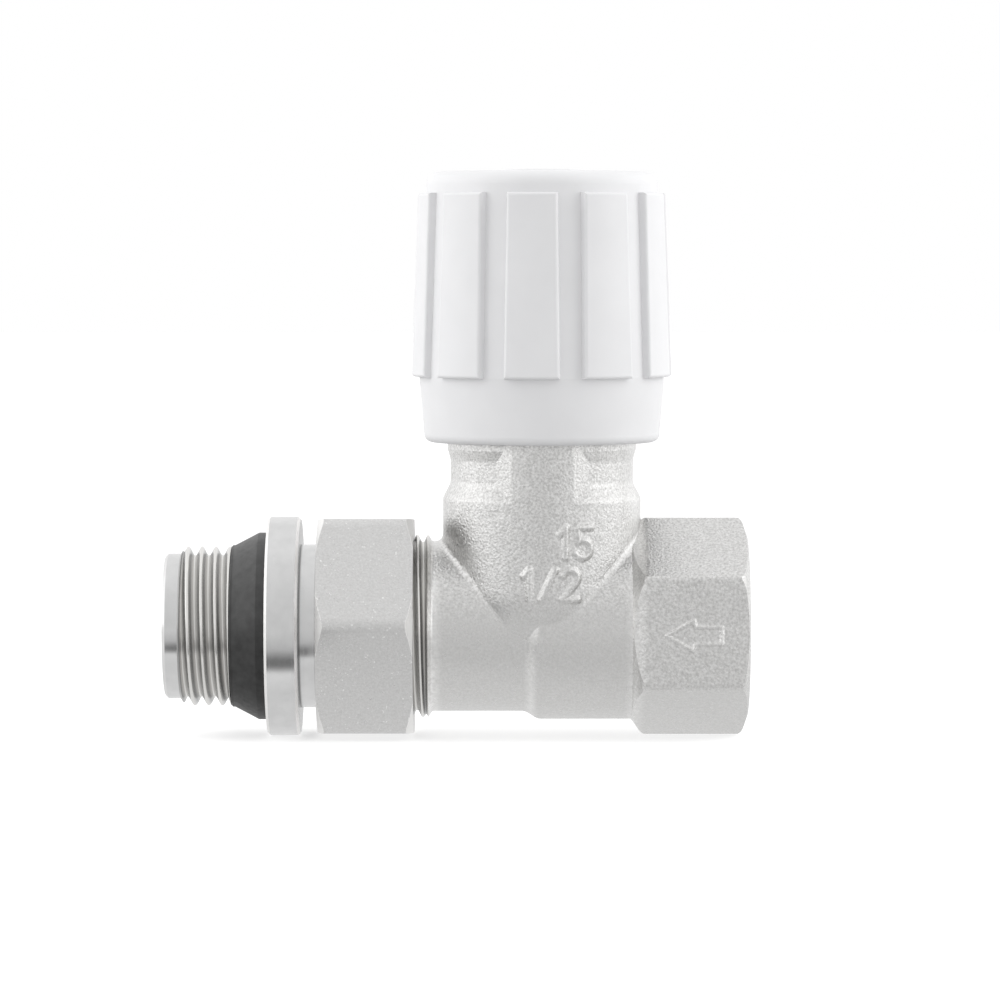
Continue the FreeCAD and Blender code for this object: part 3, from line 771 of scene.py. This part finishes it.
def blasted_nickel():
    """Blasted forging with soft edges, with a painted highlight along them."""
    finish = Finish("blasted_nickel", metallic=1.0)
    along, _, up = finish.axes()
    front = finish.spread(up, low=1, high=0, start=swell_full, end=swell_end)
    grain = forged_grain(finish, along, up)
    finish.tint(finish.spread(grain), grain_dark, grain_light)
    # painted highlight: a near-white colour over the base along the swell's line, the hexagon's edge
    # and beside the spigot
    finish.stain(forged_highlights(finish, along, front), colour=(0.97, 0.965, 0.955))
    finish.rough(finish.spread(finish.noise(size=0.6), low=0.26, high=0.36))
    swell = finish.slope(along, swell_line - swell_half, swell_line + swell_half)
    step = finish.bump(finish.math("MULTIPLY", swell, front), swell_rise)
    edge = finish.bump(finish.slope(along, edge_start, edge_start + edge_round), edge_rise, step)
    waves = finish.bump(finish.noise(size=1.1), depth=0.035, before=edge)
    finish.bump(grain, grain_depth, waves)
    return finish.material


def chamfer_mask(finish):
    """1 on the nut's chamfers and 0 on its flats."""
    along, out = finish.along_and_out()
    off = finish.math("SUBTRACT", along, (nut_left + nut_right) / 2)
    half = (nut_right - nut_left) / 2
    from_end = finish.math("SUBTRACT", half, finish.math("ABSOLUTE", off))
    slope = math.tan(math.radians(nut_chamfer_angle))
    chamfer = finish.math("MULTIPLY", finish.math("SUBTRACT", out, nut_end_radius), slope)
    under = finish.math("SUBTRACT", from_end, chamfer)
    return finish.spread(under, low=1, high=0, start=0.02, end=0.08)


def satin_nickel():
    """Satin plate of the nut, with fine pits and pale specks, and a painted highlight on its chamfers.
    """
    finish = Finish("satin_nickel", metallic=1.0)
    grain = finish.noise(size=0.28, detail=3.0, roughness=0.6)
    finish.tint(finish.spread(grain), dark=(0.645, 0.641, 0.634), light=(0.755, 0.752, 0.747))
    specks = finish.spread(finish.noise(size=0.4, detail=1.0), high=0.8, start=0.70, end=0.75)
    finish.stain(specks, colour=(0.97, 0.97, 0.96))
    painted_highlight = chamfer_mask(finish)
    # painted highlight on the chamfers
    finish.stain(painted_highlight, colour=(0.95, 0.945, 0.935))
    plain = finish.spread(finish.noise(size=0.5), low=0.27, high=0.37)
    finish.rough(finish.math("MAXIMUM", plain, finish.math("MULTIPLY", painted_highlight, nut_chamfer_roughness)))
    pits = finish.spread(finish.noise(size=0.32, detail=1.0), start=0.69, end=0.74)
    pitted = finish.bump(pits, depth=0.03)
    finish.bump(grain, depth=0.022, before=pitted)
    return finish.material


def turned_nickel(name, shaded_places=()):
    """Turned plate, with painted shade along lines, which are places on the pipe axis."""
    finish = Finish(name, metallic=1.0)
    finish.tint(finish.spread(finish.noise(size=2.0)), dark=grey(0.685), light=grey(0.735))
    along, out = finish.along_and_out()
    outside = finish.spread(out, high=0.8, start=painted_shade_inner, end=painted_shade_outer)
    for shaded_x in shaded_places:
        dark = finish.math("MULTIPLY", finish.near(along, shaded_x, painted_shade_reach), outside)
        # painted shade beside the flange and the nut
        finish.stain(dark, colour=grey(0.1))
    rings = finish.ring_noise(size=0.07)
    finish.rough(finish.spread(rings, low=0.14, high=0.24))
    finish.bump(rings, depth=0.003)
    return finish.material


def painted_edge_highlight():
    """Turned plate with a painted highlight along an edge, where it is soft."""
    finish = Finish("painted_edge_highlight", metallic=1.0)
    cloud = finish.spread(finish.noise(size=1.0))
    # painted highlight: a paler colour than the plain turned plate
    finish.tint(cloud, dark=(0.90, 0.89, 0.88), light=(0.95, 0.94, 0.93))
    finish.rough(finish.spread(finish.noise(size=0.3), low=0.46, high=0.58))
    finish.bump(finish.noise(size=0.2), depth=0.003)
    return finish.material


def threaded_nickel(name, root, crest):
    """Turned plate that is dull on the thread's flanks, with painted shade there."""
    finish = Finish(name, metallic=1.0)
    out = finish.along_and_out()[1]
    level = finish.spread(out, low=-1, high=1, start=root, end=crest)
    # painted shade: dark on the flanks, light at the roots and crests
    finish.tint(finish.math("ABSOLUTE", level), dark=grey(0.34), light=(0.78, 0.77, 0.75))
    finish.rough(finish.spread(out, low=0.30, high=0.18, start=root, end=crest))
    finish.bump(finish.ring_noise(size=0.07), depth=0.003)
    return finish.material


def bare_brass():
    finish = Finish("bare_brass", metallic=1.0)
    cloud = finish.spread(finish.noise(size=2.0))
    finish.tint(cloud, dark=(0.66, 0.50, 0.26), light=(0.76, 0.60, 0.34))
    rings = finish.ring_noise(size=0.09)
    finish.rough(finish.spread(rings, low=0.18, high=0.32))
    finish.bump(rings, depth=0.004)
    return finish.material


def steel():
    finish = Finish("zinc_steel", metallic=1.0)
    cloud = finish.spread(finish.noise(size=1.2))
    finish.tint(cloud, dark=(0.57, 0.58, 0.60), light=(0.66, 0.67, 0.69))
    finish.rough(finish.spread(finish.noise(size=0.3), low=0.24, high=0.38))
    finish.bump(finish.noise(size=0.2, detail=3.0), depth=0.006)
    return finish.material


def black_rubber():
    """Matte rubber, with painted light that makes it lighter the higher it lies."""
    finish = Finish("black_rubber", metallic=0.0)
    # painted light from above: the base colour lightens with height
    painted_top_light = finish.spread(finish.axes()["Z"], high=0.7, start=-8, end=12)
    cloud = finish.spread(finish.noise(size=1.5, detail=3.0), high=0.3)
    finish.tint(finish.math("ADD", painted_top_light, cloud), dark=grey(0.003), light=grey(0.075))
    finish.rough(finish.spread(finish.noise(size=0.5), low=0.40, high=0.52))
    finish.bump(finish.noise(size=0.14, detail=3.0, roughness=0.6), depth=0.006)
    return finish.material


def white_plastic():
    finish = Finish("white_plastic", metallic=0.0)
    cloud = finish.spread(finish.noise(size=6.0))
    finish.tint(cloud, dark=(0.75, 0.75, 0.76), light=(0.775, 0.775, 0.785))
    finish.rough(finish.spread(finish.noise(size=0.8, detail=3.0), low=0.36, high=0.46))
    finish.bump(finish.noise(size=0.25, detail=3.0, roughness=0.6), depth=0.003)
    return finish.material


def red_fibre():
    finish = Finish("red_fibre", metallic=0.0)
    fibres = finish.spread(finish.noise(size=0.4, detail=4.0, roughness=0.7))
    finish.tint(fibres, dark=(0.28, 0.07, 0.05), light=(0.46, 0.16, 0.11))
    finish.shader.inputs["Roughness"].default_value = fibre_roughness
    finish.bump(finish.noise(size=0.12, detail=3.0, roughness=0.7), depth=0.02)
    return finish.material


# Studio


def aim(thing, target):
    direction = Vector(target) - thing.location
    thing.rotation_euler = direction.to_track_quat("-Z", "Y").to_euler()


def softbox(name, place, radiance):
    """Square area light of an even radiance, aimed at the part."""
    lamp = bpy.data.lights.new(name, "AREA")
    lamp.size = light_width * MM
    lamp.energy = radiance * math.pi * lamp.size ** 2
    thing = add_object(name, lamp)
    thing.location = Vector(place) * MM
    thing.visible_glossy = False
    aim(thing, Vector(light_target) * MM)


def studio_world():
    """Pale room, dimmer behind the camera and brighter at the sides; the camera sees white."""
    world = bpy.data.worlds.new("studio")
    world.use_nodes = True
    tree = world.node_tree
    where = add_node(tree, "TexCoord").outputs["Generated"]
    across, deep, _ = add_node(tree, "SeparateXYZ", {0: where}).outputs
    room = map_range(tree, deep, room_front, room_back, start=-1, end=0)
    sideways = calculate(tree, "MULTIPLY", across, across)
    lit = calculate(tree, "MULTIPLY_ADD", sideways, room_sides, room)
    camera = add_node(tree, "LightPath").outputs["Is Camera Ray"]
    shown = calculate(tree, "MAXIMUM", lit, camera)
    background = tree.nodes["Background"]
    background.inputs["Color"].default_value = (*grey(1), 1)
    tree.links.new(shown, background.inputs["Strength"])
    bpy.context.scene.world = world


def stage_sheet(name, across, deep, height, material):
    """Level sheet between two limits across and two limits in depth."""
    left, right = across
    front, back = deep
    outline = [(left, front), (right, front), (right, back), (left, back)]
    mesh = bpy.data.meshes.new(name)
    mesh.from_pydata([(x * MM, y * MM, height * MM) for x, y in outline], [], [(0, 1, 2, 3)])
    mesh.materials.append(material)
    sheet = add_object(name, mesh)
    return sheet


def floor_glow(tree):
    """The floor as metal reflects it, dimmer in front of the part and brighter at the sides."""
    where = add_node(tree, "TexCoord").outputs["Object"]
    across, deep, _ = add_node(tree, "SeparateXYZ", {0: where}).outputs
    level = map_range(tree, deep, floor_far, floor_near, floor_front * MM, 0)
    off = calculate(tree, "SUBTRACT", across, frame_centre[0] * MM)
    aside = calculate(tree, "ABSOLUTE", off)
    sides = map_range(tree, aside, 0, floor_sides, floor_inner * MM, floor_outer * MM)
    glow = calculate(tree, "ADD", level, sides)
    return add_node(tree, "Emission", {"Strength": glow}).outputs[0]


def floor():
    """Pale floor that keeps the shadow, lifted to the background's white for the camera."""
    material = node_material("pale_floor")
    tree = material.node_tree
    shader = tree.nodes["Principled BSDF"]
    shader.inputs["Base Color"].default_value = (*grey(floor_colour), 1)
    shader.inputs["Roughness"].default_value = floor_roughness
    shader.inputs["Specular IOR Level"].default_value = floor_specular
    shader.inputs["Emission Color"].default_value = (*grey(1), 1)
    path = add_node(tree, "LightPath").outputs
    lift = calculate(tree, "MULTIPLY", path["Is Camera Ray"], floor_shown)
    tree.links.new(lift, shader.inputs["Emission Strength"])
    sockets = {0: path["Is Glossy Ray"], 1: shader.outputs[0], 2: floor_glow(tree)}
    either = add_node(tree, "MixShader", sockets).outputs[0]
    tree.links.new(either, tree.nodes["Material Output"].inputs["Surface"])
    limits = (-floor_half, floor_half)
    stage_sheet("floor", limits, limits, cad_box[0][2] / MM, material)


def shaded_card():
    """Card with a dark band, which bright turned metal shows as a streak."""
    material = node_material("shaded_card")
    tree = material.node_tree
    tree.nodes.remove(tree.nodes["Principled BSDF"])
    where = add_node(tree, "TexCoord").outputs["Object"]
    deep = add_node(tree, "SeparateXYZ", {0: where}).outputs["Y"]
    share = map_range(tree, deep, 0, 1, card_front * MM, card_back * MM)
    ramp = add_node(tree, "ValToRGB", {"Fac": share})
    stops = ramp.color_ramp.elements
    for place in list(card_levels)[1:-1]:
        stops.new((place - card_front) / (card_back - card_front))
    for stop, level in zip(stops, card_levels.values()):
        stop.color = (*grey(level), 1)
    glow = add_node(tree, "Emission", {"Color": ramp.outputs["Color"]})
    tree.links.new(glow.outputs[0], tree.nodes["Material Output"].inputs["Surface"])
    height = cad_box[0][2] / MM + card_lift
    sheet = (card_left, card_right), (card_front, card_back), height
    card = stage_sheet("shaded_card", *sheet, material)
    card.visible_camera = False
    card.visible_diffuse = False
    card.visible_shadow = False


def photo_camera():
    lens = bpy.data.cameras.new("camera")
    lens.sensor_width = sensor_width
    lens.lens = sensor_width * camera_distance / frame_width
    lens.clip_start = clip_start * MM
    lens.clip_end = clip_end * MM
    thing = add_object("camera", lens)
    rise = math.radians(camera_elevation)
    back = Vector((0, -math.cos(rise), math.sin(rise)))
    thing.location = (Vector(frame_centre) + back * camera_distance) * MM
    aim(thing, Vector(frame_centre) * MM)
    bpy.context.scene.camera = thing


# The part


def dress(names, material):
    for name in names:
        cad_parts[name].material_slots[0].material = material


def settle(piece, body, slot, *nodes):
    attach(piece, body)
    if nodes:
        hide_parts(*nodes)


forged = blasted_nickel()
turned = turned_nickel("turned_nickel")
turned_tail = turned_nickel("turned_nickel_tail", [flange_painted_shade, nut_painted_shade])
rubber = black_rubber()
white = white_plastic()
brass = bare_brass()
zinc = steel()
tail_thread = threaded_nickel("threaded_nickel_tail", tail_crest - pipe_depth, tail_crest)
spigot_thread = threaded_nickel("threaded_nickel_spigot", spigot_crest - union_depth, spigot_crest)

settle(threaded_body([forged, turned, spigot_thread]), "valve", "blasted_nickel", "valve_body")
settle(threaded_tail([turned_tail, tail_thread, painted_edge_highlight()]), "tail", "turned_nickel", "union_tail")
settle(size_marks(forged), "valve", "blasted_nickel")
settle(flow_arrow(forged), "valve", "blasted_nickel")
dress(["union_nut"], satin_nickel())
dress(["handwheel", "handwheel_cap"], white)
dress(["tail_seal", "union_o_ring", "disc_seal"], rubber)
dress(["packing_o_ring_lower", "packing_o_ring_upper"], rubber)
dress(["bonnet", "gland_nut", "packing_spacer", "spindle"], brass)
dress(["disc_holder", "disc_washer", "disc_screw"], brass)
dress(["snap_ring", "handwheel_washer", "handwheel_screw"], zinc)
dress(["bonnet_gasket"], red_fibre())

studio_world()
floor()
shaded_card()
softbox("left_light", left_place, left_radiance)
softbox("right_light", right_place, right_radiance)
photo_camera()
bpy.context.scene.view_settings.view_transform = "Standard"
